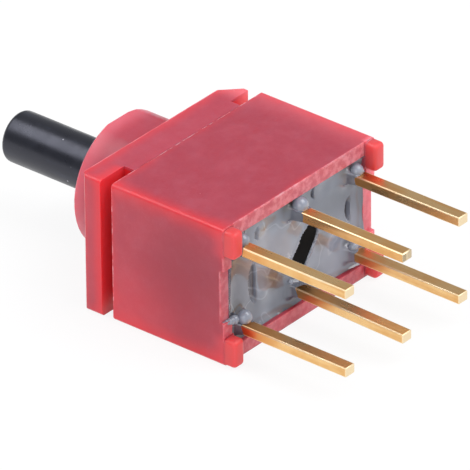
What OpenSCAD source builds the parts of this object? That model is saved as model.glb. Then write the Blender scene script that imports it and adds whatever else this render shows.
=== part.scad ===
// Sealed ultra-miniature toggle switch, two poles, lever at rest in the middle.
// It lies on a long side: the lever points to -Y, the terminals to +Y, the lever tilts along X.
// The origin is the middle of the plane on which the four feet stand on a board.

/* [Case] */
// Length of the case, along the lever's throw
case_length = 6.75; // [6.6:0.05:9]
// Width of the case, across the two rows of terminals
case_width = 4.45; // [4.4:0.05:6]
// Depth of the case, from its rim to the cover
case_depth = 4.08; // [3.9:0.02:5]
// Thickness of the two short walls
end_wall = 0.375; // [0.3:0.025:0.45]
// Thickness of the two long walls
side_wall = 0.45; // [0.35:0.05:0.5]
// Radius of the upright edges
edge_radius = 0.12; // [0.05:0.01:0.2]
// Depth of the hollow in the rim of each short wall
rim_dip = 0.12; // [0.05:0.01:0.2]
// Length of that hollow
rim_dip_length = 1.7; // [1:0.1:1.8]

/* [Feet] */
// Height of the four feet above the rim
foot_height = 0.4; // [0.2:0.05:0.6]
// Thickness of a foot
foot_thickness = 0.45; // [0.4:0.05:0.6]
// Width of a foot
foot_width = 0.86; // [0.6:0.02:1]
// Radius of a foot's free corners
foot_radius = 0.16; // [0.1:0.02:0.2]
// How far the outer side of a foot stays inside the case's long side
foot_inset = 0.03; // [0:0.01:0.1]

/* [Cover] */
// Thickness of the cover, from the case to the face that carries the collar
cover_thickness = 1.07; // [1:0.01:1.5]
// Height of the slot between each lug and the case
slot_height = 0.37; // [0.3:0.01:0.5]
// Half length of the neck between the two slots
neck_half = 2.35; // [2.2:0.05:2.5]
// Reach of the square lug from the lever's axis
square_lug_reach = 3.42; // [3.3:0.01:3.6]
// Reach of the bevelled lug from the lever's axis
bevel_lug_reach = 3.15; // [3:0.01:3.3]
// Bevel of that lug
lug_bevel = 0.54; // [0.3:0.01:0.6]
// Small bevel on the square lug's front edge
square_bevel = 0.14; // [0.05:0.01:0.3]
// Depth of the spigot that enters the case
spigot_depth = 0.35; // [0.2:0.05:0.4]
// Thickness of the case's wall round the spigot
spigot_wall = 0.22; // [0.2:0.01:0.25]

/* [Collar] */
// Radius of the collar
collar_radius = 2.06; // [1.95:0.01:2.2]
// Half distance between the collar's two flats
collar_flat = 1.93; // [1.85:0.01:2.2]
// Height of the collar above the cover's face
collar_height = 1.51; // [1.3:0.01:2]
// Bevel of the collar's front edge
collar_bevel = 0.08; // [0.02:0.01:0.15]
// Radius of the socket that holds the ball and the seal
socket_radius = 1.36; // [1.34:0.01:1.4]

/* [Lever] */
// Radius of the lever
lever_radius = 0.79; // [0.7:0.01:0.8]
// How much slimmer the lever's neck is where it enters the ball
neck_step = 0.2; // [0.1:0.01:0.25]
// Length of the lever beyond the collar
lever_reach = 3.79; // [3:0.01:6]
// Rounding of the lever's tip
tip_round = 0.14; // [0.05:0.01:0.3]
// Radius of the lever's ball
ball_radius = 1.15; // [1.1:0.01:1.18]
// Radius of the tail below the ball
tail_radius = 0.45; // [0.4:0.01:0.5]
// Largest tilt to each side, in degrees
lever_tilt = 12; // [8:0.5:12]
// Radius of the pivot pin
pin_radius = 0.25; // [0.2:0.01:0.28]
// Distance from each end of the pivot pin to the case's wall beside it
pin_margin = 0.195; // [0.18:0.005:0.25]

/* [Seal] */
// Radius of the seal's section
seal_section = 0.16; // [0.12:0.01:0.18]

/* [Plungers] */
// Radius of a plunger
plunger_radius = 0.25; // [0.22:0.01:0.26]
// Length of a plunger's round shank inside the yoke
plunger_shank = 0.3; // [0.25:0.01:0.35]
// Radius of the spring's wire
wire_radius = 0.035; // [0.03:0.005:0.04]
// Number of turns of a plunger spring
spring_turns = 3.5; // [2.5:0.5:3.5]
// Length of the yoke along X
yoke_length = 1; // [0.9:0.05:1]
// Depth of the yoke along the lever
yoke_depth = 0.8; // [0.75:0.01:0.82]

/* [Contacts] */
// Thickness of a rocker's strip
strip = 0.16; // [0.12:0.01:0.18]
// Width of a rocker
rocker_width = 0.6; // [0.5:0.02:0.62]
// How far a rocker's arm reaches past the axis of the end terminal
rocker_reach = 0.14; // [0.1:0.01:0.2]
// Largest tilt of a rocker, in degrees
rocker_tilt = 5.5; // [4:0.5:5.5]

/* [Terminals] */
// Distance from an end terminal's axis to the inside of the short wall beside it
end_margin = 0.46; // [0.4:0.01:0.6]
// Distance from a row of terminals to the inside of the long wall beside it
row_margin = 0.505; // [0.48:0.005:0.6]
// Width of a terminal, along X
terminal_width = 0.4; // [0.3:0.01:0.5]
// Thickness of a terminal, across the rows
terminal_thickness = 0.3; // [0.25:0.01:0.4]
// Length of a terminal beyond the feet
terminal_reach = 3.49; // [2.5:0.01:5]
// Sideways drop of the tip of the one terminal that is bent
bent_drop = 0.1; // [0:0.01:0.2]

/* [Base and potting] */
// Thickness of the moulded base that holds the terminals
base_thickness = 0.75; // [0.6:0.01:0.8]
// Depth of the potting's surface below the case's rim
potting_recess = 0.35; // [0.3:0.01:0.4]
// Thickness of the potting
potting_thickness = 0.45; // [0.4:0.01:0.5]
// Radius of the curve where the potting climbs a wall
wall_creep = 0.16; // [0.1:0.01:0.2]
// Height to which the potting climbs a terminal
pin_creep = 0.42; // [0.2:0.01:0.5]
// How far the foot of that climb spreads from the terminal's corners
pin_spread = 0.16; // [0.1:0.01:0.18]
// Width of the base's round-ended boss that shows through the potting
boss_width = 0.66; // [0.5:0.01:0.7]

/* [Hidden] */
$fn = 64;
eps = 0.01;

// Clearances
seat_gap = 0.01;
fit_gap = 0.02;
slide_gap = 0.025;
tilt_gap = 0.08;

// Insides of the case
inner_x = case_length / 2 - end_wall;
inner_z = case_width / 2 - side_wall;
recess_x = case_length / 2 - spigot_wall;
recess_z = case_width / 2 - spigot_wall;

// The terminals' grid of 2.54 mm: from the middle to the end terminals, and to each row
pitch = inner_x - end_margin;
row_z = inner_z - row_margin;
arm = pitch + rocker_reach;

// Planes along the switch, from the feet to the lever's tip
rim_y = -foot_height;
seam_y = rim_y - case_depth;
cover_y = seam_y - cover_thickness;
collar_y = cover_y - collar_height;
tip_y = collar_y - lever_reach;
potting_y = rim_y - potting_recess;
base_rear_y = potting_y - potting_thickness;
base_front_y = base_rear_y - base_thickness;
spigot_y = seam_y + spigot_depth;
retainer_thickness = 0.25;
ledge_y = spigot_y + retainer_thickness;

// The lever turns about a point that lets the ball touch the retainer
pivot_y = spigot_y - ball_radius - fit_gap;
yoke_front_y = ledge_y + (yoke_length / 2) * sin(lever_tilt) + 0.12;
yoke_rear_y = yoke_front_y + yoke_depth;
plunger_tip_y = yoke_rear_y + plunger_radius;
plunger_bore = plunger_radius + slide_gap;
plunger_bore_depth = 0.68;
plunger_top_y = yoke_rear_y - plunger_shank;
spring_radius = plunger_radius - wire_radius - 0.03;

// Each rocker turns about the rounded top of its middle terminal
rocker_y = plunger_tip_y + seat_gap + strip + 0.03;
contact_length = 0.8;
contact_width = 0.9;
contact_button = 0.09;
contact_face_y = rocker_y + contact_button + arm * sin(rocker_tilt) + seat_gap;
fulcrum_radius = 0.2;
ear_thickness = 0.12;
ear_height = 0.3;

// The seal lies on the ball's shoulder inside the socket
seal_offset = ball_radius + seal_section + seat_gap;
seal_ring = socket_radius - seal_section - seat_gap;
seal_rise = sqrt(seal_offset * seal_offset - seal_ring * seal_ring);
seal_y = pivot_y - seal_rise;
shoulder_y = seal_y - seal_section - seat_gap;

// Radius that the tilted lever needs, at a distance from its pivot
function swept(radius, distance) =
    radius / cos(lever_tilt) + distance * tan(lever_tilt);

// The boss on the base, between its two ends in X and Z
boss_ends = [[-0.84, -0.03], [-0.32, 0.52 - row_z]];

// Beads of potting beside the terminals: place from the terminal's axis in X and Z,
// which column and which row the terminal is in, radius, and height above the surface
beads = [
    [-0.04, 0.23, 1, 1, 0.21, 0.54],
    [0, 0.26, 0, 1, 0.24, 0.63],
    [-0.02, 0.2, -1, 1, 0.2, 0.57],
    [-0.02, 0.3, 1, -1, 0.22, 0.63],
    [0.04, 0.23, -1, -1, 0.15, 0.42]];

// Long hollows where the potting shrank: X and Z of the middle, half length, radius and depth
hollows = [[1.72, -0.36, 0.62, 0.2, 0.07], [-2.42, 0.2, 0.36, 0.18, 0.06]];

// Extrudes a flat outline along Y, with its second axis along Z
module along_y(from, to) {
    translate([0, to, 0]) rotate([90, 0, 0]) linear_extrude(to - from) children();
}

// Turns a profile of radius and Y about the lever's axis
module round_y(at = 0) {
    translate([0, at, 0]) rotate([-90, 0, 0]) rotate_extrude() children();
}

// A rod along Z through the point x, y
module rod_z(x, y, radius, from, to) {
    translate([x, y, from]) cylinder(r = radius, h = to - from);
}

// A box between two corners
module span(low, high) {
    translate(low) cube(high - low);
}

// A rectangle with round corners, centred
module soft_rectangle(length, width, radius) {
    square([length - 2 * radius, width], center = true);
    square([length, width - 2 * radius], center = true);
    for (x = [-1, 1], y = [-1, 1])
        translate([x * (length / 2 - radius), y * (width / 2 - radius)]) circle(radius);
}

// Two round ends joined by a straight band
module obround(ends, width) {
    run = ends[1] - ends[0];
    for (end = ends) translate(end) circle(width / 2);
    translate(ends[0]) rotate(atan2(run[1], run[0]))
        translate([0, -width / 2]) square([norm(run), width]);
}

// The case

module foot() {
    // Seen along X: square where it meets the rim, round at its free corners
    root = 0.2;
    reach = foot_height + root;
    translate([-foot_thickness, -root, 0]) rotate([90, 0, 90])
        linear_extrude(foot_thickness) {
            square([reach - foot_radius, foot_width]);
            translate([0, foot_radius]) square([reach, foot_width - 2 * foot_radius]);
            for (z = [foot_radius, foot_width - foot_radius])
                translate([reach - foot_radius, z]) circle(foot_radius);
        }
}

module case() color([0.73, 0.33, 0.38]) {
    difference() {
        along_y(seam_y, rim_y) soft_rectangle(case_length, case_width, edge_radius);
        // Room for the mechanism, the base and the potting
        span([-inner_x, seam_y - eps, -inner_z], [inner_x, rim_y + eps, inner_z]);
        // Wider mouth for the spigot and the retainer
        span([-recess_x, seam_y - eps, -recess_z], [recess_x, ledge_y, recess_z]);
        // Hollow in the rim of each short wall
        span([-case_length, rim_y - rim_dip, -rim_dip_length / 2],
            [case_length, rim_y + eps, rim_dip_length / 2]);
    }
    intersection() {
        for (x = [0, 1], z = [0, 1]) mirror([x, 0, 0]) mirror([0, 0, z])
            translate([case_length / 2, rim_y, case_width / 2 - foot_inset - foot_width]) foot();
        along_y(seam_y, 0) soft_rectangle(case_length, case_width, edge_radius);
    }
}

// The cover with its lugs and collar

module cover_outline() {
    lug_y = seam_y - slot_height;
    polygon([
        [-neck_half, seam_y],
        [-neck_half, lug_y],
        [-bevel_lug_reach, lug_y],
        [-bevel_lug_reach, cover_y + lug_bevel],
        [-bevel_lug_reach + lug_bevel, cover_y],
        [square_lug_reach - square_bevel, cover_y],
        [square_lug_reach, cover_y + square_bevel],
        [square_lug_reach, lug_y],
        [neck_half, lug_y],
        [neck_half, seam_y]]);
}

module collar() {
    intersection() {
        round_y() polygon([
            [0, cover_y + eps],
            [collar_radius, cover_y + eps],
            [collar_radius, collar_y + collar_bevel],
            [collar_radius - collar_bevel, collar_y],
            [0, collar_y]]);
        span([-case_length, collar_y - eps, -collar_flat], [case_length, seam_y, collar_flat]);
    }
}

module cover() color([0.75, 0.33, 0.38]) {
    mouth_low = swept(lever_radius, pivot_y - shoulder_y) + fit_gap;
    mouth_high = swept(lever_radius, pivot_y - collar_y) + fit_gap;
    slot_half = pin_radius + fit_gap;
    pin_room = recess_z - pin_margin + fit_gap;
    difference() {
        union() {
            intersection() {
                translate([0, 0, -case_width / 2]) linear_extrude(case_width) cover_outline();
                along_y(cover_y, seam_y)
                    soft_rectangle(2 * square_lug_reach, case_width, edge_radius);
            }
            span([-recess_x + fit_gap, seam_y - eps, -recess_z + fit_gap],
                [recess_x - fit_gap, spigot_y, recess_z - fit_gap]);
            collar();
        }
        // Socket for the ball and the seal, and the flared mouth round the lever
        round_y() polygon([
            [0, spigot_y + eps],
            [socket_radius, spigot_y + eps],
            [socket_radius, shoulder_y],
            [mouth_low, shoulder_y],
            [mouth_high, collar_y],
            [mouth_high, collar_y - eps],
            [0, collar_y - eps]]);
        // Slots that take the pivot pin from the inside
        rod_z(0, pivot_y, slot_half, -pin_room, pin_room);
        span([-slot_half, pivot_y, -pin_room], [slot_half, spigot_y + eps, pin_room]);
    }
}

// The lever and what rides on it

module lever() color([0.16, 0.16, 0.19]) {
    // The neck inside the collar tapers towards the ball
    neck_radius = lever_radius - neck_step;
    difference() {
        union() {
            round_y() {
                polygon([
                    [0, pivot_y],
                    [neck_radius, pivot_y],
                    [lever_radius, collar_y],
                    [lever_radius, tip_y + tip_round],
                    [lever_radius - tip_round, tip_y + tip_round],
                    [lever_radius - tip_round, tip_y],
                    [0, tip_y]]);
                translate([lever_radius - tip_round, tip_y + tip_round]) circle(tip_round);
            }
            translate([0, pivot_y, 0]) sphere(ball_radius);
            along_y(pivot_y, yoke_rear_y) circle(tail_radius);
        }
        rod_z(0, pivot_y, pin_radius + fit_gap, -case_width, case_width);
    }
}

module yoke() color([0.88, 0.86, 0.8]) {
    half = row_z + plunger_bore + 0.12;
    difference() {
        union() {
            along_y(yoke_front_y, yoke_rear_y)
                soft_rectangle(yoke_length, 2 * half, edge_radius);
            along_y(yoke_front_y, yoke_rear_y) circle(tail_radius + 0.2);
        }
        along_y(yoke_front_y - eps, yoke_rear_y + eps) circle(tail_radius + seat_gap);
        for (z = [-row_z, row_z]) translate([0, 0, z])
            along_y(yoke_rear_y - plunger_bore_depth, yoke_rear_y + eps) circle(plunger_bore);
    }
}

module pivot_pin() color([0.75, 0.76, 0.78])
    rod_z(0, pivot_y, pin_radius, -recess_z + pin_margin, recess_z - pin_margin);

module pivot_retainer() color([0.2, 0.2, 0.22]) {
    hole = swept(tail_radius, ledge_y - pivot_y) + tilt_gap;
    post_low = socket_radius + fit_gap;
    post_high = recess_z - pin_margin - fit_gap;
    difference() {
        span([-recess_x + fit_gap, spigot_y, -recess_z + fit_gap],
            [recess_x - fit_gap, ledge_y, recess_z - fit_gap]);
        along_y(spigot_y - eps, ledge_y + eps) circle(hole);
    }
    for (side = [0, 1]) mirror([0, 0, side])
        span([-pin_radius, pivot_y + pin_radius + fit_gap, post_low],
            [pin_radius, spigot_y + eps, post_high]);
}

module stem_seal() color([0.12, 0.12, 0.12])
    round_y(seal_y) translate([seal_ring, 0]) circle(seal_section);

module plunger(z) color([0.8, 0.72, 0.45]) translate([0, 0, z]) {
    along_y(plunger_top_y, yoke_rear_y) circle(plunger_radius);
    translate([0, yoke_rear_y, 0]) sphere(plunger_radius);
}

// Points of one ring of the coil, at an angle along the helix
function ring(angle, rise, sides) = [
    for (i = [0:sides - 1])
        let (a = 360 * i / sides, r = spring_radius + wire_radius * cos(a))
            [r * cos(angle), rise + wire_radius * sin(a), r * sin(angle)]];

module coil(from, to) {
    sides = 6;
    steps = round(spring_turns * 16);
    low = from + wire_radius;
    high = to - wire_radius;
    points = [for (s = [0:steps])
        each ring(360 * spring_turns * s / steps, low + (high - low) * s / steps, sides)];
    walls = [for (s = [0:steps - 1], i = [0:sides - 1])
        let (j = (i + 1) % sides, a = s * sides, b = a + sides)
            each [[a + i, a + j, b + j], [a + i, b + j, b + i]]];
    first = [for (i = [0:sides - 1]) sides - 1 - i];
    last = [for (i = [0:sides - 1]) steps * sides + i];
    polyhedron(points, concat(walls, [first, last]));
}

module plunger_spring(z) color([0.78, 0.78, 0.8])
    translate([0, 0, z])
        coil(yoke_rear_y - plunger_bore_depth + seat_gap, plunger_top_y - seat_gap);

// The contacts

// Side view of a rocker: a shallow valley between two crests, then arms that end in feet
module rocker_profile() {
    valley = strip + 0.02;
    crest = valley + 0.13;
    shoulder = 0.3;
    heel = 0.14;
    end = arm;
    half_top = [
        [0.1, valley], [shoulder, crest], [0.5, crest - 0.03],
        [end - 0.3, 0.02 + strip], [end - 0.1, strip], [end, strip - 0.05]];
    half_under = [
        [end, -0.02], [end - 0.06, -contact_button], [end - 0.2, -contact_button],
        [end - 0.3, 0.02], [0.5, crest - 0.03 - strip], [shoulder, crest - strip], [heel, 0.02]];
    mirrored = [for (p = concat(half_top, half_under)) [-p[0], p[1]]];
    flipped = [for (i = [len(mirrored) - 1:-1:0]) mirrored[i]];
    translate([0, rocker_y]) mirror([0, 1]) polygon(concat(half_top, half_under, flipped));
}

module rocker(z) color([0.8, 0.62, 0.3])
    translate([0, 0, z - rocker_width / 2]) linear_extrude(rocker_width) rocker_profile();

// The leg of a terminal, from the base's front to the tip, which may be bent sideways
module leg(x, z, drop) {
    half = terminal_thickness / 2;
    translate([x - terminal_width / 2, 0, z]) rotate([90, 0, 90])
        linear_extrude(terminal_width) polygon([
            [base_front_y - eps, -half],
            [potting_y, -half],
            [terminal_reach, -half - drop],
            [terminal_reach, half - drop],
            [potting_y, half],
            [base_front_y - eps, half]]);
}

// A fixed contact: a flat pad on the base, and its leg
module fixed_terminal(x, z, drop = 0) color([0.85, 0.68, 0.4]) {
    outer = inner_x - fit_gap;
    low = x < 0 ? -outer : x - contact_length / 2;
    high = x < 0 ? x + contact_length / 2 : outer;
    span([low, contact_face_y, z - contact_width / 2],
        [high, base_front_y, z + contact_width / 2]);
    leg(x, z, drop);
}

// The middle terminal: a rounded ridge that carries the rocker between two ears
module common_terminal(z, drop = 0) color([0.85, 0.68, 0.4]) {
    ear_in = rocker_width / 2 + fit_gap;
    ear_out = ear_in + ear_thickness;
    top_y = rocker_y + seat_gap;
    rod_z(0, top_y + fulcrum_radius, fulcrum_radius, z - ear_out, z + ear_out);
    span([-fulcrum_radius, top_y + fulcrum_radius, z - ear_out],
        [fulcrum_radius, base_front_y, z + ear_out]);
    for (side = [-ear_out, ear_in])
        span([-fulcrum_radius, rocker_y - ear_height, z + side],
            [fulcrum_radius, top_y + fulcrum_radius, z + side + ear_thickness]);
    span([-contact_length / 2, contact_face_y, z - contact_width / 2],
        [contact_length / 2, base_front_y, z + contact_width / 2]);
    leg(0, z, drop);
}

// The base and the potting

module leg_holes(from, to) {
    for (x = [-pitch, 0, pitch], z = [-row_z, row_z])
        span([x - terminal_width / 2, from, z - terminal_thickness / 2],
            [x + terminal_width / 2, to, z + terminal_thickness / 2]);
}

module terminal_base() color([0.13, 0.13, 0.14]) {
    barrier = 0.3;
    difference() {
        union() {
            span([-inner_x + fit_gap, base_front_y, -inner_z + fit_gap],
                [inner_x - fit_gap, base_rear_y, inner_z - fit_gap]);
            // Wall between the two poles
            span([-inner_x + fit_gap, base_front_y - barrier, -barrier / 2],
                [inner_x - fit_gap, base_front_y + eps, barrier / 2]);
            // Boss that the potting leaves bare
            along_y(base_rear_y - eps, potting_y) obround(boss_ends, boss_width);
        }
        leg_holes(base_front_y - eps, base_rear_y + eps);
    }
}

module bead(x, z, radius, height)
    translate([x, potting_y + height - radius, z]) sphere(radius);

module hollow(x, z, half, radius, depth)
    translate([x, potting_y - depth + radius, z]) {
        rod_z(0, 0, radius, -half + radius, half - radius);
        for (end = [radius - half, half - radius]) translate([0, 0, end]) sphere(radius);
    }

// The corner that the potting fills where it climbs a wall: a square less a round
module creep_profile(radius) {
    difference() {
        square(radius);
        translate([radius, radius]) circle(radius);
    }
}

module potting() color([0.53, 0.54, 0.6]) {
    // Radius of a circle through a terminal's corners
    root = norm([terminal_width, terminal_thickness]) / 2 + seat_gap;
    difference() {
        intersection() {
            union() {
                span([-inner_x, base_rear_y, -inner_z], [inner_x, potting_y, inner_z]);
                // It climbs the four walls
                for (side = [0, 1]) mirror([side, 0, 0])
                    translate([-inner_x, potting_y, -inner_z])
                        linear_extrude(2 * inner_z) creep_profile(wall_creep);
                for (side = [0, 1]) mirror([0, 0, side])
                    translate([inner_x, potting_y, -inner_z]) rotate([0, -90, 0])
                        linear_extrude(2 * inner_x) creep_profile(wall_creep);
                // It climbs the six terminals
                for (x = [-pitch, 0, pitch], z = [-row_z, row_z]) translate([x, 0, z])
                    round_y(potting_y) polygon([
                        [0, -eps],
                        [root + pin_spread, 0],
                        [root + 0.25 * pin_spread, 0.3 * pin_creep],
                        [root, pin_creep],
                        [0, pin_creep]]);
                for (b = beads) bead(b[2] * pitch + b[0], b[3] * row_z + b[1], b[4], b[5]);
            }
            // The beads end at the case's walls
            span([-inner_x, base_rear_y, -inner_z], [inner_x, 0, inner_z]);
        }
        for (h = hollows) hollow(h[0], h[1], h[2], h[3], h[4]);
        leg_holes(base_rear_y - eps, eps);
        along_y(base_rear_y - eps, rim_y) obround(boss_ends, boss_width);
    }
}

case();
cover();
lever();
yoke();
pivot_pin();
pivot_retainer();
stem_seal();
plunger(row_z);  // plunger_upper
plunger(-row_z);  // plunger_lower
plunger_spring(row_z);  // spring_upper
plunger_spring(-row_z);  // spring_lower
rocker(row_z);  // rocker_upper
rocker(-row_z);  // rocker_lower
terminal_base();
potting();
fixed_terminal(pitch, row_z);  // terminal_upper_near
common_terminal(row_z);  // terminal_upper_middle
fixed_terminal(-pitch, row_z);  // terminal_upper_far
fixed_terminal(pitch, -row_z);  // terminal_lower_near
common_terminal(-row_z, bent_drop);  // terminal_lower_middle
fixed_terminal(-pitch, -row_z);  // terminal_lower_far
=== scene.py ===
import math
import bmesh
import bpy
from mathutils import Matrix, Vector, noise

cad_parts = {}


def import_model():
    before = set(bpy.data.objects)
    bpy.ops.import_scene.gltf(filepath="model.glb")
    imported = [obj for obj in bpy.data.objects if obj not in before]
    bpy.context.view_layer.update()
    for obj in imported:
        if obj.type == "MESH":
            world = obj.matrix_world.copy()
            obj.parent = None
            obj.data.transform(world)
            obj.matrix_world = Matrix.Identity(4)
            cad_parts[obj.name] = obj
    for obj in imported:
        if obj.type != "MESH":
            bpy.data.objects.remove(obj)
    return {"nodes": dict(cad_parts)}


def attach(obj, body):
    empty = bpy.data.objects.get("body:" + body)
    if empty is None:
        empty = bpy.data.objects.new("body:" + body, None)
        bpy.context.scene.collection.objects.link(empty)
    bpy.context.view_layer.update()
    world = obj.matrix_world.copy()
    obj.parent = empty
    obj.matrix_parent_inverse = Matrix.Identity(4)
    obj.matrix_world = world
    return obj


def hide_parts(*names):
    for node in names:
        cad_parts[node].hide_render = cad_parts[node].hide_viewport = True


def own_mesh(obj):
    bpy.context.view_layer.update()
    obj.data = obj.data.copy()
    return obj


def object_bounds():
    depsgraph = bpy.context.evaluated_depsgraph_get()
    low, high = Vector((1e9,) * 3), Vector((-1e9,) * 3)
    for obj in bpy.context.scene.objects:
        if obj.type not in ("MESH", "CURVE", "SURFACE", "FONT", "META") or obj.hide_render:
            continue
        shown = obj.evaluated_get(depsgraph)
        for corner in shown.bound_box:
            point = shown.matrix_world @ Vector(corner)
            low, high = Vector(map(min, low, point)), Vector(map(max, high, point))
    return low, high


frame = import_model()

# One millimetre, in the frame's metres
MM = 0.001

# The photograph's camera, fitted to the terminals' grid and the case's corners
PHOTO_PIXELS = 470
CAMERA_AZIMUTH = 129.78
CAMERA_ELEVATION = 30.60
CAMERA_ROLL = 0.58
CAMERA_DISTANCE = 297.7 * MM
PIXELS_PER_MM = 35.431
AIM_PIXEL = (299.6, 250.9)
SENSOR_MM = 36

# Sizes of the solids, in millimetres, as the frame holds them
CASE_HALF_X = 3.375
CASE_HALF_Z = 2.225
RIM_Y = -0.4
SEAM_Y = -4.48
SLOT_Y = -4.85
COVER_Y = -5.55
COVER_HALF_X = 3.42
INNER_X = 3.0
INNER_Z = 1.775
PITCH = 2.54
POTTING_Y = -0.75
POTTING_BACK_Y = -1.2
PIN_HALF_X = 0.2
PIN_HALF_Z = 0.15
TIP_Y = 3.49
BOSS_ENDS = ((-0.84, -0.03), (-0.32, -0.75))
BOSS_RADIUS = 0.33
DIP_HALF_Z = 0.85
DIP_DEPTH = 0.12
FOOT_LOW = (2.925, RIM_Y, 1.335)
FOOT_HIGH = (3.375, 0.0, 2.195)

# Radii of the rounds that the scene adds, in millimetres
CASE_ROUND = 0.08
COVER_ROUND = 0.07
FOOT_ROUND = 0.13
PIN_ROUND = 0.036
SMALL_ROUND = 0.02

# Points of a solid that lie closer than this, in millimetres, are one point
JOIN_GAP = 0.0005

# In degrees: faces that differ by less are one flat, and edges that turn by more are sharp, the last
# on the springs and the resin
FLAT_ANGLE = 0.5
SHARP_ANGLE = 35
CREASE_ANGLE = 50

# The middles of the six terminals, X and Z in millimetres
PINS = [(x, z) for z in (PITCH / 2, -PITCH / 2) for x in (PITCH, 0.0, -PITCH)]

# How high the resin climbs each terminal, in the order of PINS, in millimetres
CLIMBS = [0.50, 0.60, 0.52, 0.56, 0.42, 0.44]

# Long hollows where the resin shrank: X, Z, half length, half width and depth in millimetres
HOLLOWS = [
    (1.56, -0.42, 0.74, 0.19, 0.13), (-2.66, 0.06, 0.46, 0.10, 0.14),
    (1.40, 1.12, 0.25, 0.08, 0.09), (-1.12, 1.28, 0.22, 0.07, 0.09),
]

# Low round swellings and dips: X, Z, radius and height in millimetres
SWELLS = [
    (-0.62, 1.12, 0.30, 0.06), (1.28, -0.95, 0.42, 0.05), (0.9, 0.5, 0.5, -0.04),
    (-1.6, -0.6, 0.55, 0.04), (1.36, 1.15, 0.3, 0.05), (-1.5, 1.2, 0.3, -0.03),
]

# Drops of resin on the terminals' upper sides, small ones beside them, and a ridge of drops over
# the near rim: X, Y, Z and radius in millimetres
DROPS = [
    (2.50, -0.42, 1.50, 0.21), (0.0, -0.36, 1.53, 0.24), (-2.56, -0.38, 1.47, 0.20),
    (2.52, -0.34, -0.97, 0.22), (-2.50, -0.48, -1.04, 0.15),
    (-2.84, -0.54, 1.30, 0.12), (2.80, -0.48, -0.98, 0.14), (2.93, -0.47, -0.95, 0.12),
    (3.05, -0.46, -0.92, 0.10), (3.16, -0.47, -0.91, 0.085), (3.26, -0.49, -0.91, 0.07),
    (0.16, -0.60, -1.02, 0.08), (2.16, -0.62, 1.32, 0.09),
]

# The resin's surface, in millimetres: its waves, its climb at the long and short walls with the reach
# of each, the reach of its climb at a terminal, the bend of a hollow, and the ragged edge, the lip and
# the depth of the boss that shows through
WAVES = 0.026
RIPPLES = 0.003
LONG_WALL_CLIMB = 0.19
LONG_WALL_REACH = 0.12
SHORT_WALL_CLIMB = 0.24
SHORT_WALL_REACH = 0.22
PIN_REACH = 0.085
HOLLOW_BEND = 0.12
BOSS_RAGGED = 0.03
BOSS_LIP = 0.035
BOSS_SUNK = 0.14
RESIN_STEP = 0.025

# Drops of a larger radius than this, in millimetres, have a ring of painted shade in the resin round them
RING_RADIUS = 0.14

# The colours of an end fade in between these two distances from its plane, in millimetres
END_FADE_START = 0.09
END_FADE_STOP = 0.03

# Half the floor's side
FLOOR_HALF = 600 * MM

nodes = frame["nodes"]
scene = bpy.context.scene
cad_low, cad_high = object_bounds()


# Camera

def photo_camera():
    """The camera that took the photograph, far off with a long lens."""
    azimuth = math.radians(CAMERA_AZIMUTH)
    elevation = math.radians(CAMERA_ELEVATION)
    roll = math.radians(CAMERA_ROLL)
    right = Vector((math.cos(azimuth), math.sin(azimuth), 0))
    back = Vector((math.sin(azimuth) * math.cos(elevation),
                   -math.cos(azimuth) * math.cos(elevation), math.sin(elevation)))
    up = back.cross(right)
    side = right * math.cos(roll) - up * math.sin(roll)
    rise = right * math.sin(roll) + up * math.cos(roll)
    across = (AIM_PIXEL[0] - PHOTO_PIXELS / 2) / PIXELS_PER_MM * MM
    along = -(AIM_PIXEL[1] - PHOTO_PIXELS / 2) / PIXELS_PER_MM * MM
    place = back * CAMERA_DISTANCE - side * across - rise * along
    place.y += RIM_Y * MM
    camera = bpy.data.objects.new("camera", bpy.data.cameras.new("camera"))
    scene.collection.objects.link(camera)
    camera.matrix_world = Matrix((side, rise, back)).transposed().to_4x4()
    camera.location = place
    camera.data.sensor_width = SENSOR_MM
    camera.data.lens = PIXELS_PER_MM * CAMERA_DISTANCE / MM * SENSOR_MM / PHOTO_PIXELS
    camera.data.clip_start = 10 * MM
    camera.data.clip_end = 4000 * MM
    scene.camera = camera


# Shader helpers

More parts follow.
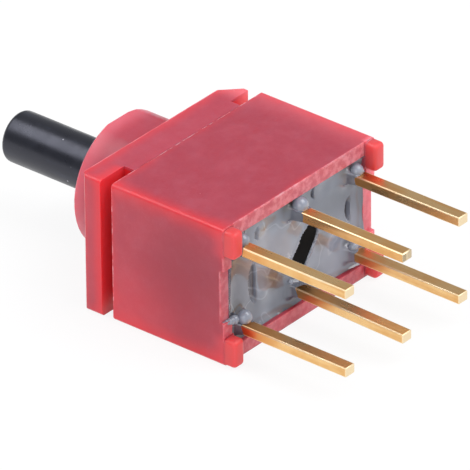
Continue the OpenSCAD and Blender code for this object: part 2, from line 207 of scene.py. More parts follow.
class Graph:
    """Adds shader nodes to one tree and joins them."""

    def __init__(self, tree):
        self.tree = tree

    def add(self, kind, **settings):
        node = self.tree.nodes.new(kind)
        for key, value in settings.items():
            setattr(node, key, value)
        return node

    def put(self, socket, value):
        """Joins another socket to this one, or gives it a plain value."""
        if isinstance(value, bpy.types.NodeSocket):
            self.tree.links.new(value, socket)
        else:
            socket.default_value = value

    def math(self, operation, first, second=0.0):
        node = self.add("ShaderNodeMath", operation=operation)
        self.put(node.inputs[0], first)
        self.put(node.inputs[1], second)
        return node.outputs[0]

    def times(self, first, *others):
        for other in others:
            first = self.math("MULTIPLY", first, other)
        return first

    def plus(self, first, second):
        return self.math("ADD", first, second)

    def minus(self, first, second):
        return self.math("SUBTRACT", first, second)

    def most(self, first, second):
        return self.math("MAXIMUM", first, second)

    def least(self, first, second):
        return self.math("MINIMUM", first, second)

    def absolute(self, value):
        return self.math("ABSOLUTE", value)

    def fade(self, value, low, high, start=0.0, end=1.0):
        """A smooth change from start to end as value goes from low to high."""
        node = self.add("ShaderNodeMapRange", interpolation_type="SMOOTHSTEP")
        for socket, given in zip(node.inputs[:5], (value, low, high, start, end)):
            self.put(socket, given)
        return node.outputs[0]

    def mix(self, share, first, second):
        """The first colour, with this share of the second."""
        node = self.add("ShaderNodeMix", data_type="RGBA")
        self.put(node.inputs[0], share)
        self.put(node.inputs[6], first)
        self.put(node.inputs[7], second)
        return node.outputs[2]

    def millimetres(self, stretch=(1, 1, 1)):
        """The point on the surface in the row frame, in millimetres."""
        place = self.add("ShaderNodeTexCoord").outputs["Object"]
        node = self.add("ShaderNodeVectorMath", operation="MULTIPLY")
        self.put(node.inputs[0], place)
        node.inputs[1].default_value = [s / MM for s in stretch]
        return node.outputs[0]

    def split(self, vector):
        node = self.add("ShaderNodeSeparateXYZ")
        self.put(node.inputs[0], vector)
        return node.outputs

    def distance(self, vector, place):
        """How far a point is from a fixed place."""
        node = self.add("ShaderNodeVectorMath", operation="DISTANCE")
        self.put(node.inputs[0], vector)
        node.inputs[1].default_value = place
        return node.outputs["Value"]

    def noise(self, vector, scale, detail=3.0, roughness=0.55):
        node = self.add("ShaderNodeTexNoise")
        self.put(node.inputs["Vector"], vector)
        self.put(node.inputs["Scale"], scale)
        self.put(node.inputs["Detail"], detail)
        self.put(node.inputs["Roughness"], roughness)
        return node.outputs[0]

    def specks(self, vector, scale, size):
        """Small round marks, one here and there: 1 on a mark and 0 beside it."""
        cell = self.add("ShaderNodeTexVoronoi")
        self.put(cell.inputs["Vector"], vector)
        self.put(cell.inputs["Scale"], scale)
        near = self.fade(cell.outputs["Distance"], size * 0.6, size, 1, 0)
        chosen = self.fade(self.split(cell.outputs["Color"])[0], 0.72, 0.74)
        return self.times(near, chosen)

    def bump(self, height, depth_mm, strength):
        node = self.add("ShaderNodeBump")
        self.put(node.inputs["Height"], height)
        node.inputs["Distance"].default_value = depth_mm * MM
        node.inputs["Strength"].default_value = strength
        return node.outputs[0]


def material(name, **sockets):
    """A principled material; returns it with its graph and its shader."""
    made = bpy.data.materials.new(name)
    made.use_nodes = True
    shader = made.node_tree.nodes["Principled BSDF"]
    for key, value in sockets.items():
        shader.inputs[key.replace("_", " ")].default_value = value
    return made, Graph(made.node_tree), shader


def rgb(red, green, blue):
    """A colour given as it looks on screen, 0 to 255, as the shader wants it."""
    def linear(value):
        value = value / 255
        return value / 12.92 if value <= 0.04045 else ((value + 0.055) / 1.055) ** 2.4
    return (linear(red), linear(green), linear(blue), 1.0)


# Colours of the red mouldings
CASE_EDGE_GLOW = rgb(208, 50, 60)
CASE_CORE = rgb(165, 56, 73)
COVER_EDGE_GLOW = rgb(200, 60, 73)
COVER_CORE = rgb(176, 63, 80)
VEIL = rgb(190, 100, 116)
GRAIN = rgb(214, 132, 142)
RED_DUST = rgb(240, 190, 196)
TRAPPED_LIGHT = rgb(216, 26, 32)
WORN_EDGE_AND_SHEEN = rgb(232, 134, 142)
PAINTED_END_SHADE = rgb(134, 34, 54)
END_GLOW = rgb(226, 66, 78)
FAR_GLOW = rgb(236, 112, 122)
FOOT_WALL_GLOW = rgb(218, 66, 76)
FOOT_RED = rgb(214, 72, 73)
RIM_DULL = rgb(190, 94, 107)
RIM_PALE = rgb(220, 144, 152)
FAR_RIM_LIGHT = rgb(250, 134, 146)
FRAYED_LINE = rgb(240, 190, 198)
COLLAR_FRONT_LIGHT = rgb(230, 114, 128)
COLLAR_NECK_SHADE = rgb(164, 62, 78)
FAR_LUG_GLOW = rgb(250, 122, 128)
NEAR_LUG = rgb(224, 56, 64)

# Colours of the resin
RESIN_DARK = rgb(96, 102, 115)
RESIN_PALE = rgb(142, 148, 161)
RESIN_BROWN = rgb(140, 116, 110)
RESIN_NEAR_WALL_SHADE = rgb(70, 66, 78)
RESIN_FAR_END = rgb(172, 174, 188)
RESIN_RING_SHADE = rgb(62, 62, 68)
RESIN_SCUFF = rgb(186, 186, 194)
RESIN_HOLLOW_SHADE = rgb(84, 78, 84)
RESIN_FLOW = rgb(186, 190, 200)
RESIN_CLIMB_SHADE = rgb(84, 84, 90)
RESIN_DROP_SHEEN = rgb(146, 153, 167)
RESIN_BUBBLE = rgb(196, 202, 214)

# Colours of the metals and of dust on black
GREY_DUST = rgb(196, 198, 206)
RED_REFLECTION_GOLD = rgb(214, 132, 62)
CUT_TIP = rgb(244, 226, 190)
DULL_STEEL = rgb(150, 150, 155)


# Materials

def edge_distance(graph, centre, half):
    """Millimetres from the nearest edge of a box, for a point on one of its faces."""
    parts = graph.split(graph.millimetres())
    gaps = []
    for part, middle, reach in zip(parts, centre, half):
        off = graph.absolute(graph.minus(part, middle))
        gaps.append(graph.minus(reach, off))
    total = graph.plus(graph.plus(gaps[0], gaps[1]), gaps[2])
    least = graph.least(graph.least(gaps[0], gaps[1]), gaps[2])
    most = graph.most(graph.most(gaps[0], gaps[1]), gaps[2])
    return graph.minus(graph.minus(total, least), most)


def red_plastic(name, edge, core, reach, centre, half, groove):
    """Translucent red moulding: painted light makes it a clearer, lighter red at its edges, and painted
    shade makes it duller towards the middle of each face.
    """
    made, graph, shader = material(name, IOR=1.49)
    point = graph.millimetres()
    level, z = graph.split(point)[1:]
    depth = edge_distance(graph, centre, half)
    cloud = graph.noise(point, 0.55, 2.0)
    depth = graph.plus(depth, graph.times(graph.minus(cloud, 0.5), reach))
    # Painted light and shade: the edge colour at the faces' edges, the core colour towards their middles
    colour = graph.mix(graph.fade(depth, -0.02, reach), edge, core)
    veil = graph.fade(graph.noise(point, 1.3, 4.0, 0.6), 0.42, 0.72, 0.0, 0.2)
    colour = graph.mix(veil, colour, VEIL)
    grain = graph.noise(point, 17.0, 4.0, 0.6)
    colour = graph.mix(graph.fade(grain, 0.52, 0.76, 0.0, 0.08), colour, GRAIN)
    dust = graph.specks(point, 1.3, 0.036)
    colour = graph.mix(graph.times(dust, 0.5), colour, RED_DUST)
    # Light is trapped between the lugs and the case, where the red is deepest
    low, high = groove
    deep = graph.times(graph.fade(level, low - 0.012, low),
                       graph.fade(level, high, high + 0.012, 1, 0),
                       graph.fade(graph.absolute(z), CASE_HALF_Z - 0.12, CASE_HALF_Z - 0.05, 1, 0))
    colour = graph.mix(graph.times(deep, 0.9), colour, TRAPPED_LIGHT)
    graph.put(shader.inputs["Roughness"],
              graph.fade(graph.noise(point, 4.0, 4.0), 0.3, 0.75, 0.32, 0.48))
    shader.inputs["Subsurface Weight"].default_value = 0.7
    shader.inputs["Subsurface Radius"].default_value = (1.0, 0.13, 0.12)
    shader.inputs["Subsurface Scale"].default_value = 0.3 * MM
    return made, graph, shader, colour, grain


def worn_and_sheen_edges(graph, colour, centre, half):
    """Thin pale lines here and there along a box's edges: partly rubbed moulding and partly a painted edge
    highlight.
    """
    rubbed_and_lit = graph.fade(graph.noise(graph.millimetres(), 2.6, 3.0, 0.6), 0.35, 0.65, 0.3, 0.8)
    keen = graph.fade(edge_distance(graph, centre, half), 0.012, 0.05, 1, 0)
    return graph.mix(graph.times(keen, rubbed_and_lit), colour, WORN_EDGE_AND_SHEEN)


def case_plastic():
    """The case's red: painted shade in the middle of its ends, painted light through its ends, beside its
    feet and on its far rim, pale and rough on its rim, clear in its feet.
    """
    # Neither the seam nor the rim is a clear edge, so the box runs on past both
    front = SEAM_Y - 0.3
    rear = RIM_Y + 0.4
    centre = (0, (front + rear) / 2, 0)
    half = (CASE_HALF_X, (rear - front) / 2, CASE_HALF_Z)
    made, graph, shader, colour, grain = red_plastic(
        "case_red", CASE_EDGE_GLOW, CASE_CORE, 0.62, centre, half, (SEAM_Y - 0.01, SEAM_Y + 0.004))
    point = graph.millimetres()
    x, level, z = graph.split(point)
    across = graph.absolute(x)
    aside = graph.absolute(z)
    either_end = graph.fade(across, CASE_HALF_X - END_FADE_START, CASE_HALF_X - END_FADE_STOP)
    near_end = graph.fade(x, CASE_HALF_X - END_FADE_START, CASE_HALF_X - END_FADE_STOP)
    # Painted shade: the middle of each end is painted darker
    along = graph.math("DIVIDE", graph.plus(level, 1.75), 2.1)
    rise = graph.math("DIVIDE", graph.plus(z, 0.15), 2.2)
    spread = graph.plus(graph.times(along, along), graph.times(rise, rise))
    shade = graph.times(either_end, graph.fade(spread, 0.0, 1.15, 0.55, 0.0))
    colour = graph.mix(shade, colour, PAINTED_END_SHADE)
    # Painted light: the near end's lower front, the far end and the walls beside the feet are painted
    # lighter, as if light came through them
    glow = graph.times(graph.fade(z, 0.6, -1.9, 0.12, 0.5),
                       graph.fade(level, RIM_Y - 1.0, SEAM_Y + 0.3, 0.25, 1), near_end)
    colour = graph.mix(glow, colour, END_GLOW)
    colour = graph.mix(graph.fade(x, -2.2, -3.3, 0, 0.35), colour, FAR_GLOW)
    beside = graph.times(graph.fade(level, RIM_Y - 0.55, RIM_Y), graph.fade(aside, 1.1, 1.5, 0, 0.6),
                         either_end)
    colour = graph.mix(beside, colour, FOOT_WALL_GLOW)
    foot = graph.fade(level, RIM_Y - 0.02, RIM_Y + 0.10)
    colour = graph.mix(graph.times(foot, 0.85), colour, FOOT_RED)
    # The rim is a pale rough band, lower at the dips and smooth below the feet
    rough = graph.noise(point, 12.0, 5.0, 0.65)
    wobble = graph.times(graph.minus(rough, 0.5), 0.04)
    dip = graph.times(graph.fade(aside, DIP_HALF_Z - 0.01, DIP_HALF_Z + 0.01, 1, 0),
                      graph.fade(across, INNER_X - 0.04, INNER_X - 0.01))
    rim = graph.minus(RIM_Y - 0.004, graph.times(dip, DIP_DEPTH))
    off = graph.absolute(graph.minus(graph.plus(level, wobble), rim))
    free = graph.most(graph.fade(across, FOOT_LOW[0] - 0.05, FOOT_LOW[0], 1, 0),
                      graph.fade(aside, FOOT_LOW[2] - 0.06, FOOT_LOW[2], 1, 0))
    band = graph.times(free, graph.fade(off, 0.012, 0.05, 1, 0))
    blotch = graph.noise(point, 4.5, 3.0, 0.6)
    pale = graph.mix(graph.fade(blotch, 0.36, 0.66), RIM_DULL, RIM_PALE)
    colour = graph.mix(graph.times(band, graph.fade(z, INNER_Z - 0.1, INNER_Z, 0.42, 0.7)), colour, pale)
    # Painted light: the far wall's rim is painted lighter, as if lit
    lit = graph.times(graph.fade(x, 0.1 - INNER_X, -INNER_X), graph.fade(level, RIM_Y - 0.2, RIM_Y, 0, 0.65),
                      graph.fade(level, RIM_Y + 0.02, RIM_Y + 0.06, 1, 0))
    colour = graph.mix(lit, colour, FAR_RIM_LIGHT)
    # A thin frayed light line runs along the outer edges of the rim and along the seam
    edge_z = graph.fade(aside, CASE_HALF_Z - 0.06, CASE_HALF_Z - 0.03)
    edge_x = graph.fade(across, CASE_HALF_X - 0.045, CASE_HALF_X - 0.03)
    fray = graph.fade(graph.noise(point, 3.5, 4.0, 0.7), 0.42, 0.66, 0.0, 0.38)
    line = graph.times(graph.most(edge_z, graph.times(edge_x, 0.45)), fray,
                       graph.fade(off, 0.02, 0.055, 1, 0), graph.most(free, 0.5))
    seam = graph.times(graph.fade(level, SEAM_Y + 0.055, SEAM_Y + 0.02),
                       graph.fade(graph.noise(point, 5.0, 4.0, 0.7), 0.42, 0.6, 0.0, 0.5))
    colour = graph.mix(graph.most(line, seam), colour, FRAYED_LINE)
    colour = worn_and_sheen_edges(graph, colour, centre, half)
    height = graph.plus(grain, graph.times(rough, band, 1.6))
    graph.put(shader.inputs["Base Color"], colour)
    graph.put(shader.inputs["Normal"], graph.bump(height, 0.006, 0.5))
    return made


def cover_plastic():
    """The cover's red: painted shade behind the collar, painted light at the collar's front and in the far
    lug.
    """
    # The seam isn't a clear edge, so the box runs on past it
    depth = 1.2
    centre = (0, COVER_Y + depth, 0)
    half = (COVER_HALF_X, depth, CASE_HALF_Z)
    made, graph, shader, colour, grain = red_plastic(
        "cover_red", COVER_EDGE_GLOW, COVER_CORE, 0.45, centre, half, (SLOT_Y, SEAM_Y - 0.012))
    x, level = graph.split(graph.millimetres())[:2]
    # Painted light: the collar's front is painted lighter
    colour = graph.mix(graph.fade(level, -6.3, -7.05, 0, 0.6), colour, COLLAR_FRONT_LIGHT)
    # Painted shade: the neck behind the collar, where it meets the lugs, is painted duller
    neck = graph.times(graph.fade(level, COVER_Y, COVER_Y - 0.03), graph.fade(level, -6.9, -5.8))
    colour = graph.mix(graph.times(neck, 0.5), colour, COLLAR_NECK_SHADE)
    # Painted light: the far lug is painted lighter, as if lit through
    colour = graph.mix(graph.fade(x, -2.3, -3.1, 0, 0.7), colour, FAR_LUG_GLOW)
    lug = graph.times(graph.fade(x, 2.3, 2.6), graph.fade(level, COVER_Y + 0.2, SLOT_Y))
    colour = graph.mix(graph.times(lug, 0.75), colour, NEAR_LUG)
    colour = worn_and_sheen_edges(graph, colour, centre, half)
    graph.put(shader.inputs["Base Color"], colour)
    graph.put(shader.inputs["Normal"], graph.bump(grain, 0.006, 0.5))
    return made


def black_plastic(name, base, scuff, smooth_to, rough_to, gleam=0.4, tint=(1, 1, 1, 1)):
    """Plain satin moulding, rubber or lacquer, mostly black, with faint scuffs and a little dust."""
    made, graph, shader = material(name, IOR=1.5, Specular_IOR_Level=gleam, Specular_Tint=tint)
    point = graph.millimetres()
    drawn = graph.noise(graph.millimetres((3, 0.5, 3)), 1.6, 3.0)
    cloud = graph.noise(point, 1.4, 3.0)
    share = graph.times(graph.fade(drawn, 0.5, 0.8), graph.fade(cloud, 0.4, 0.75))
    colour = graph.mix(graph.times(share, 0.6), base, scuff)
    dust = graph.specks(point, 2.6, 0.08)
    colour = graph.mix(graph.times(dust, 0.8), colour, GREY_DUST)
    graph.put(shader.inputs["Base Color"], colour)
    graph.put(shader.inputs["Roughness"], graph.fade(cloud, 0.3, 0.7, smooth_to, rough_to))
    graph.put(shader.inputs["Normal"], graph.bump(graph.noise(point, 12.0, 5.0, 0.6), 0.004, 0.4))
    return made


def gold(name, bright, dull, smooth_to=0.22, rough_to=0.32, streak=(4, 0.35, 4), reflected_red=0.0):
    """Thin gold over stamped metal: faint drawing lines, cloudy tarnish, a painted reflection of the red
    case at the roots, and pale cut tips.
    """
    made, graph, shader = material(name, Metallic=1.0)
    point = graph.millimetres()
    lines = graph.noise(graph.millimetres(streak), 1.6, 3.0, 0.5)
    cloud = graph.noise(point, 1.1, 3.0, 0.55)
    share = graph.fade(graph.plus(graph.times(lines, 0.45), graph.times(cloud, 0.55)), 0.36, 0.66)
    level = graph.split(point)[1]
    colour = graph.mix(share, bright, dull)
    # Painted reflection: the roots are painted a warmer orange, standing in for the red case reflected in
    # them
    colour = graph.mix(graph.fade(level, 1.6, -0.4, 0.0, reflected_red), colour, RED_REFLECTION_GOLD)
    colour = graph.mix(graph.fade(level, TIP_Y - 0.02, TIP_Y - 0.005, 0.0, 0.85), colour, CUT_TIP)
    graph.put(shader.inputs["Base Color"], colour)
    graph.put(shader.inputs["Roughness"], graph.fade(share, 0.0, 1.0, smooth_to, rough_to))
    height = graph.plus(lines, graph.times(graph.noise(point, 9.0, 2.0), 0.2))
    graph.put(shader.inputs["Normal"], graph.bump(height, 0.002, 0.15))
    return made


def steel(name, colour):
    """Bright drawn or rolled steel with fine lines."""
    made, graph, shader = material(name, Metallic=1.0)
    lines = graph.noise(graph.millimetres((8, 8, 0.6)), 3.0, 4.0)
    graph.put(shader.inputs["Base Color"], graph.mix(graph.fade(lines, 0.3, 0.7), colour, DULL_STEEL))
    graph.put(shader.inputs["Roughness"], graph.fade(lines, 0.3, 0.7, 0.2, 0.35))
    graph.put(shader.inputs["Normal"], graph.bump(lines, 0.004, 0.4))
    return made


# Stains in the resin: X and Z of the middle, radius in millimetres, strength and colour
STAINS = [
    (0.62, -0.62, 0.66, 1.0, rgb(84, 72, 68)), (-1.40, -0.43, 0.45, 0.7, rgb(112, 104, 100)),
    (0.12, 1.50, 0.36, 0.9, rgb(128, 122, 92)), (-2.40, 1.48, 0.34, 0.9, rgb(98, 94, 70)),
    (-0.30, 1.05, 0.32, 0.8, rgb(66, 64, 68)), (-2.62, 0.92, 0.30, 0.8, rgb(64, 62, 66)),
    (1.25, 1.12, 0.26, 0.7, rgb(132, 118, 96)), (-1.02, -1.46, 0.34, 0.8, rgb(70, 66, 72)),
]


def cast_resin():
    """Blue-grey cast resin: wet gloss, milky clouds, stains, painted shade in rings round its large drops,
    in its hollows, where it climbs and towards the near wall, and a painted sheen on its drops.
    """
    made, graph, shader = material("potting_resin", IOR=1.53, Coat_Weight=0.8, Coat_Roughness=0.03)
    point = graph.millimetres()
    x, level, z = graph.split(point)
    cloud = graph.noise(point, 0.6, 2.0, 0.4)
    colour = graph.mix(graph.fade(cloud, 0.34, 0.68), RESIN_DARK, RESIN_PALE)
    tint = graph.fade(graph.noise(point, 0.7, 2.0, 0.4), 0.52, 0.72, 0.0, 0.3)
    colour = graph.mix(tint, colour, RESIN_BROWN)
    # Painted shade: the resin darkens towards the near wall
    colour = graph.mix(graph.fade(x, 1.2, 2.4, 0.0, 0.8), colour, RESIN_NEAR_WALL_SHADE)
    far = graph.times(graph.fade(x, -0.6, -2.2), graph.fade(z, 0.6, -0.6, 0.0, 0.4))
    colour = graph.mix(far, colour, RESIN_FAR_END)
    broken = graph.fade(graph.noise(point, 2.2, 3.0, 0.6), 0.36, 0.56, 0.25, 0.8)
    for x_mm, z_mm, radius, share, tone in STAINS:
        near = graph.distance(point, (x_mm, POTTING_Y, z_mm))
        near = graph.times(graph.fade(near, radius * 0.3, radius, share, 0.0), broken)
        colour = graph.mix(near, colour, tone)
    # Painted shade: the resin is darker close round the large drops
    low = graph.fade(level, POTTING_Y + 0.06, POTTING_Y + 0.2, 1, 0)
    for x_mm, _, z_mm, radius in DROPS:
        if radius > RING_RADIUS:
            near = graph.distance(point, (x_mm, POTTING_Y, z_mm))
            near = graph.fade(near, radius * 1.2, radius * 2.2, 0.7, 0.0)
            colour = graph.mix(graph.times(near, low), colour, RESIN_RING_SHADE)
    # One pale scuff lies beside the boss
    near = graph.distance(point, (0.02, POTTING_Y, -0.42))
    scuffed = graph.times(graph.fade(near, 0.10, 0.34, 1, 0),
                          graph.fade(graph.noise(point, 9.0, 3.0, 0.7), 0.42, 0.58, 0.0, 0.7))
    colour = graph.mix(scuffed, colour, RESIN_SCUFF)
    # Painted shade: the resin is painted darker where it lies low in its hollows
    hollow = graph.fade(level, POTTING_Y - 0.12, POTTING_Y - 0.05, 0.85, 0.0)
    colour = graph.mix(hollow, colour, RESIN_HOLLOW_SHADE)
    # Thin pale lines where the resin flowed together
    flow = graph.absolute(graph.minus(graph.noise(point, 0.55, 2.0, 0.55), 0.52))
    colour = graph.mix(graph.fade(flow, 0.0, 0.012, 0.2, 0.0), colour, RESIN_FLOW)
    # Painted shade darkens it where it climbs, and a painted sheen makes its drops paler
    climb = graph.fade(level, POTTING_Y + 0.06, POTTING_Y + 0.30, 0.0, 0.35)
    colour = graph.mix(climb, colour, RESIN_CLIMB_SHADE)
    for x_mm, y_mm, z_mm, radius in DROPS:
        near = graph.fade(graph.distance(point, (x_mm, y_mm, z_mm)), radius * 1.02, radius * 1.12, 0.7, 0.0)
        colour = graph.mix(near, colour, RESIN_DROP_SHEEN)
    bubbles = graph.specks(point, 3.2, 0.05)
    colour = graph.mix(graph.times(bubbles, 0.5), colour, RESIN_BUBBLE)
    graph.put(shader.inputs["Base Color"], colour)
    graph.put(shader.inputs["Roughness"], graph.fade(cloud, 0.3, 0.7, 0.07, 0.18))
    shader.inputs["Subsurface Weight"].default_value = 0.35
    shader.inputs["Subsurface Radius"].default_value = (1.0, 1.0, 1.1)
    shader.inputs["Subsurface Scale"].default_value = 0.15 * MM
    graph.put(shader.inputs["Normal"], graph.bump(graph.noise(point, 3.0, 2.0), 0.004, 0.4))
    return made


# Mesh helpers

def new_piece(name, mesh):
    piece = bpy.data.objects.new(name, mesh)
    scene.collection.objects.link(piece)
    return piece


def round_feet(mesh):
    """Takes the case's feet off at the rim and sets softly rounded ones in their place."""
    whole = mesh.verts[:] + mesh.edges[:] + mesh.faces[:]
    bmesh.ops.bisect_plane(mesh, geom=whole, dist=JOIN_GAP * MM, plane_co=(0, RIM_Y * MM, 0),
                           plane_no=(0, 1, 0), clear_outer=True)
    bmesh.ops.holes_fill(mesh, edges=[edge for edge in mesh.edges if edge.is_boundary])
    size = [high - low for low, high in zip(FOOT_LOW, FOOT_HIGH)]
    middle = [(high + low) / 2 for low, high in zip(FOOT_LOW, FOOT_HIGH)]
    for side_x, side_z in ((-1, -1), (-1, 1), (1, -1), (1, 1)):
        place = Vector((side_x * middle[0], middle[1], side_z * middle[2])) * MM
        form = Matrix.Translation(place) @ Matrix.Diagonal(Vector(size) * MM).to_4x4()
        corners = bmesh.ops.create_cube(mesh, size=1.0, matrix=form)["verts"]
        tops = [corner for corner in corners if corner.co.y > RIM_Y * MM / 2]
        edges = {edge for corner in tops for edge in corner.link_edges}
        bmesh.ops.bevel(mesh, geom=tops + list(edges), offset=FOOT_ROUND * MM, segments=5,
                        profile=0.5, affect="EDGES")


def clean_copy(node):
    """The node's solid as a mesh of whole flat faces, with its split corners joined.

    The case's mesh gets its rounder feet.
    """
    mesh = bmesh.new()
    mesh.from_mesh(nodes[node].data)
    bmesh.ops.remove_doubles(mesh, verts=mesh.verts, dist=JOIN_GAP * MM)
    bmesh.ops.dissolve_limit(mesh, angle_limit=math.radians(FLAT_ANGLE), verts=mesh.verts,
                             edges=mesh.edges)
    if node == "case":
        round_feet(mesh)
    made = bpy.data.meshes.new(node + "_form")
    mesh.to_mesh(made)
    mesh.free()
    made.materials.clear()
    return made


def apply_modifiers(piece):
    """Leaves the piece with the mesh that its modifiers make."""
    graph = bpy.context.evaluated_depsgraph_get()
    mesh = bpy.data.meshes.new_from_object(piece.evaluated_get(graph))
    piece.modifiers.clear()
    piece.data = mesh


def soften(piece, width_mm, segments=3, beyond=None):
    """Rounds the sharp edges by a small radius and keeps the flats flat.

    Given beyond, only edges that reach past that Y are rounded, and their rounds take slot 1.
    """
    mesh = piece.data
    for face in mesh.polygons:
        face.use_smooth = True
    mesh.set_sharp_from_angle(angle=math.radians(SHARP_ANGLE))
    bevel = piece.modifiers.new("round", "BEVEL")
    bevel.width = width_mm * MM
    bevel.segments = segments
    bevel.miter_outer = "MITER_ARC"
    if beyond is None:
        bevel.limit_method = "ANGLE"
        bevel.angle_limit = math.radians(SHARP_ANGLE)
        bevel.harden_normals = True
    else:
        bevel.limit_method = "WEIGHT"
        bevel.use_clamp_overlap = False
        bevel.material = 1
        weights = mesh.attributes.new("bevel_weight_edge", "FLOAT", "EDGE")
        for edge, weight in zip(mesh.edges, weights.data):
            far = max(mesh.vertices[i].co.y for i in edge.vertices)
            weight.value = float(edge.use_edge_sharp and far > beyond * MM)
        flat = piece.modifiers.new("flat", "WEIGHTED_NORMAL")
        flat.keep_sharp = True
        flat.weight = 100
    apply_modifiers(piece)


def dress(node, body, looks, width_mm, segments=3, beyond=None):
    """A finer piece that stands for a CAD node, with its edges softly rounded."""
    piece = new_piece(node + "_skin", clean_copy(node))
    for look in looks:
        piece.data.materials.append(look)
    soften(piece, width_mm, segments, beyond)
    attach(piece, body)
    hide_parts(node)


def plunger_spring(row, look):
    """The wire spring of one plunger: it stays in the yoke."""
    node = "spring_" + row
    mesh = nodes[node].data.copy()
    mesh.materials.clear()
    mesh.materials.append(look)
    for face in mesh.polygons:
        face.use_smooth = True
    mesh.set_sharp_from_angle(angle=math.radians(CREASE_ANGLE))
    piece = new_piece(node + "_wire", mesh)
    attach(piece, "lever")
    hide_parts(node)
    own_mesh(piece)


# The potting

def smooth(value, low, high):
    """A smooth change from 0 to 1 as value goes from low to high."""
    share = min(max((value - low) / (high - low), 0.0), 1.0)
    return share * share * (3 - 2 * share)


def ripple(x, z, scale, seed):
    """Smooth noise between about -1 and 1; the seed picks one of many patterns."""
    return noise.noise(Vector((x * scale, z * scale, seed)))


def from_boss(x, z):
    """Distance from the boss's outline, in millimetres, below zero inside it."""
    (ax, az), (bx, bz) = BOSS_ENDS
    run = Vector((bx - ax, bz - az))
    share = (Vector((x - ax, z - az)).dot(run)) / run.length_squared
    share = min(max(share, 0.0), 1.0)
    return math.hypot(x - ax - run.x * share, z - az - run.y * share) - BOSS_RADIUS


def from_pin(x, z, px, pz):
    """Distance from the outline of the terminal at px and pz, in millimetres."""
    return math.hypot(max(abs(x - px) - PIN_HALF_X, 0), max(abs(z - pz) - PIN_HALF_Z, 0))


def resin_height(x, z):
    """How far the resin's surface stands past its level, in millimetres."""
    height = WAVES * ripple(x, z, 0.9, 3.1) + RIPPLES * ripple(x, z, 3.5, 7.7)
    long_wall = LONG_WALL_CLIMB + 0.04 * ripple(x, z, 1.6, 1.7)
    height += long_wall * math.exp(-(INNER_Z - abs(z)) / LONG_WALL_REACH)
    short_wall = SHORT_WALL_CLIMB + 0.05 * ripple(x, z, 1.9, 9.2)
    height += short_wall * math.exp(-(INNER_X - abs(x)) / SHORT_WALL_REACH)
    for (px, pz), climb in zip(PINS, CLIMBS):
        fall = math.exp(-((from_pin(x, z, px, pz) / PIN_REACH) ** 0.85))
        height += climb * (1 + 0.35 * ripple(x, z, 3.0, 5.5)) * fall
    for sx, sz, radius, rise in SWELLS:
        height += rise * math.exp(-((x - sx) ** 2 + (z - sz) ** 2) / (radius * radius) * 2)
    for hx, hz, half, width, deep in HOLLOWS:
        bend = HOLLOW_BEND * (1 - ((z - hz) / half) ** 2)
        off = math.hypot((z - hz) / half, (x - hx - bend) / width)
        height -= deep * (1 - smooth(off, 0.62, 1.0))
    ragged = BOSS_RAGGED * (ripple(x, z, 8.0, 4.4) + ripple(x, z, 19.0, 2.6))
    off = from_boss(x, z) + ragged
    height += BOSS_LIP * math.exp(-((off - 0.05) / 0.05) ** 2)
    return height - BOSS_SUNK * smooth(-off, -0.03, 0.01)


def resin():
    """The cast resin as one closed body with its real, uneven surface."""
    count_x = round(2 * INNER_X / RESIN_STEP)
    count_z = round(2 * INNER_Z / RESIN_STEP)
    mesh = bmesh.new()
    rows = []
    for i in range(count_x + 1):
        x = -INNER_X + 2 * INNER_X * i / count_x
        row = []
        for j in range(count_z + 1):
            z = -INNER_Z + 2 * INNER_Z * j / count_z
            y = POTTING_Y + resin_height(x, z)
            row.append(mesh.verts.new((x * MM, y * MM, z * MM)))
        rows.append(row)
    for i in range(count_x):
        for j in range(count_z):
            mesh.faces.new((rows[i][j], rows[i][j + 1], rows[i + 1][j + 1], rows[i + 1][j]))
    edge = [rows[i][0] for i in range(count_x + 1)]
    edge += [rows[count_x][j] for j in range(1, count_z + 1)]
    edge += [rows[i][count_z] for i in range(count_x - 1, -1, -1)]
    edge += [rows[0][j] for j in range(count_z - 1, 0, -1)]
    under = [mesh.verts.new((v.co.x, POTTING_BACK_Y * MM, v.co.z)) for v in edge]
    for i, vert in enumerate(edge):
        after = (i + 1) % len(edge)
        mesh.faces.new((vert, edge[after], under[after], under[i]))
    mesh.faces.new(under[::-1])
    for x, y, z, radius in DROPS:
        place = Matrix.Translation(Vector((x, y, z)) * MM)
        bmesh.ops.create_uvsphere(mesh, u_segments=28, v_segments=18, radius=radius * MM, matrix=place)
    bmesh.ops.recalc_face_normals(mesh, faces=mesh.faces)
    made = bpy.data.meshes.new("potting_surface")
    mesh.to_mesh(made)
    mesh.free()
    for face in made.polygons:
        face.use_smooth = True
    made.set_sharp_from_angle(angle=math.radians(CREASE_ANGLE))
    piece = new_piece("potting_surface", made)
    made.materials.append(cast_resin())
    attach(piece, "case")
    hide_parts("potting")


# Stage and light

def floor(level):
    """A pale plain floor under the switch, which keeps a faint shadow."""
    mesh = bpy.data.meshes.new("floor")
    corners = [(x * FLOOR_HALF, y * FLOOR_HALF, level) for x, y in ((-1, -1), (1, -1), (1, 1), (-1, 1))]
    mesh.from_pydata(corners, [], [(0, 1, 2, 3)])
    piece = new_piece("floor", mesh)
    made, graph, shader = material("floor", Roughness=0.8)
    shader.inputs["Base Color"].default_value = (0.92, 0.92, 0.92, 1)
    rays = graph.add("ShaderNodeLightPath")
    seen = graph.most(rays.outputs["Is Camera Ray"], rays.outputs["Is Glossy Ray"])
    seen = graph.most(seen, rays.outputs["Is Transmission Ray"])
    glow = graph.add("ShaderNodeEmission")
    glow.inputs["Color"].default_value = (1, 1, 1, 1)
    blend = graph.add("ShaderNodeMixShader")
    graph.put(blend.inputs[0], graph.times(seen, 0.86))
    graph.put(blend.inputs[1], shader.outputs[0])
    graph.put(blend.inputs[2], glow.outputs[0])
    graph.put(made.node_tree.nodes["Material Output"].inputs["Surface"], blend.outputs[0])
    mesh.materials.append(made)


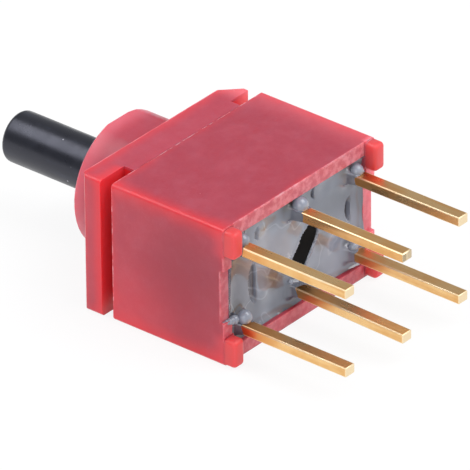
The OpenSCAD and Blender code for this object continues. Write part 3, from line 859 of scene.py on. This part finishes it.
def world():
    """White to the camera; a soft room to everything else, with two dimmer parts."""
    made = bpy.data.worlds.new("studio")
    scene.world = made
    made.use_nodes = True
    graph = Graph(made.node_tree)
    back = made.node_tree.nodes["Background"]
    rays = graph.add("ShaderNodeLightPath")
    heading = graph.add("ShaderNodeTexCoord").outputs["Generated"]
    room = (0.86, 0.87, 0.90, 1)
    # Each dimmer part: its direction, where it starts as a cosine, and its colour
    for towards, start, dim in (((-0.66, -0.55, 0.51), 0.2, (0.42, 0.43, 0.46, 1)),
                                ((0.82, -0.55, 0.20), 0.75, (0.36, 0.37, 0.40, 1))):
        dot = graph.add("ShaderNodeVectorMath", operation="DOT_PRODUCT")
        graph.put(dot.inputs[0], heading)
        dot.inputs[1].default_value = Vector(towards).normalized()
        room = graph.mix(graph.fade(dot.outputs["Value"], start, 0.95), room, dim)
    graph.put(back.inputs["Color"], graph.mix(rays.outputs["Is Camera Ray"], room, (1, 1, 1, 1)))
    back.inputs["Strength"].default_value = 1.0


def softbox(name, place_mm, size_mm, power, run=(1, 0, 0), aim_mm=(0, -2, 0)):
    """A rectangular lamp that faces its aim, its first side along run as far as it can be."""
    data = bpy.data.lights.new(name, "AREA")
    data.shape = "RECTANGLE"
    data.size, data.size_y = [s * MM for s in size_mm]
    data.energy = power
    lamp = bpy.data.objects.new(name, data)
    scene.collection.objects.link(lamp)
    back = (Vector(place_mm) - Vector(aim_mm)).normalized()
    across = (Vector(run) - back * back.dot(Vector(run))).normalized()
    lamp.matrix_world = Matrix((across, back.cross(across), back)).transposed().to_4x4()
    lamp.location = Vector(place_mm) * MM


# The scene

photo_camera()

case_red = case_plastic()
cover_red = cover_plastic()
lever_black = black_plastic("lever_black", rgb(4, 4, 7), rgb(44, 50, 66), 0.26, 0.36, gleam=0.8,
                            tint=(0.8, 0.82, 1.0, 1))
base_black = black_plastic("base_black", rgb(2, 2, 3), rgb(9, 9, 11), 0.5, 0.65, gleam=0.08)
terminal_gold = gold("terminal_gold", rgb(248, 206, 144), rgb(232, 178, 112), 0.27, 0.37, reflected_red=0.6)
# A paler copy of the terminals' gold for their rounded edges: a painted highlight along the edges
terminal_edge_sheen = gold("terminal_edge_sheen", rgb(255, 234, 196), rgb(250, 218, 170), 0.40, 0.50, reflected_red=0.4)
contact_gold = gold("contact_gold", rgb(238, 200, 138), rgb(214, 168, 104), streak=(0.5, 9, 9))
brass = gold("plunger_brass", rgb(228, 200, 120), rgb(190, 156, 84), streak=(5, 2, 5))
bright_steel = steel("bright_steel", rgb(196, 198, 203))
rubber = black_plastic("seal_rubber", rgb(24, 24, 25), rgb(40, 40, 42), 0.6, 0.75)
natural = black_plastic("yoke_natural", rgb(222, 216, 200), rgb(205, 198, 180), 0.4, 0.55)

dress("case", "case", [case_red], CASE_ROUND, segments=4)
dress("cover", "case", [cover_red], COVER_ROUND, segments=4)
dress("lever", "lever", [lever_black], SMALL_ROUND)
for node in sorted(nodes):
    if node.startswith("terminal_") and node != "terminal_base":
        dress(node, "case", [terminal_gold, terminal_edge_sheen], PIN_ROUND, segments=4, beyond=1)
dress("terminal_base", "case", [base_black], SMALL_ROUND, segments=2)
resin()

plain_looks = {
    "yoke": natural, "pivot_pin": bright_steel, "pivot_retainer": base_black, "stem_seal": rubber,
    "plunger_upper": brass, "plunger_lower": brass,
    "rocker_upper": contact_gold, "rocker_lower": contact_gold,
}
for node, look in plain_looks.items():
    nodes[node].data.materials.clear()
    nodes[node].data.materials.append(look)

for row in ("upper", "lower"):
    plunger_spring(row, bright_steel)

floor(cad_low.z)
world()
softbox("key", place_mm=(-40, 60, 120), size_mm=(110, 110), power=0.11)
softbox("fill", place_mm=(120, 40, 40), size_mm=(90, 90), power=0.035)
softbox("edge", place_mm=(40, -82, 114), size_mm=(110, 46), power=0.055, run=(-0.94, 0, 0.34))

scene.view_settings.view_transform = "Standard"
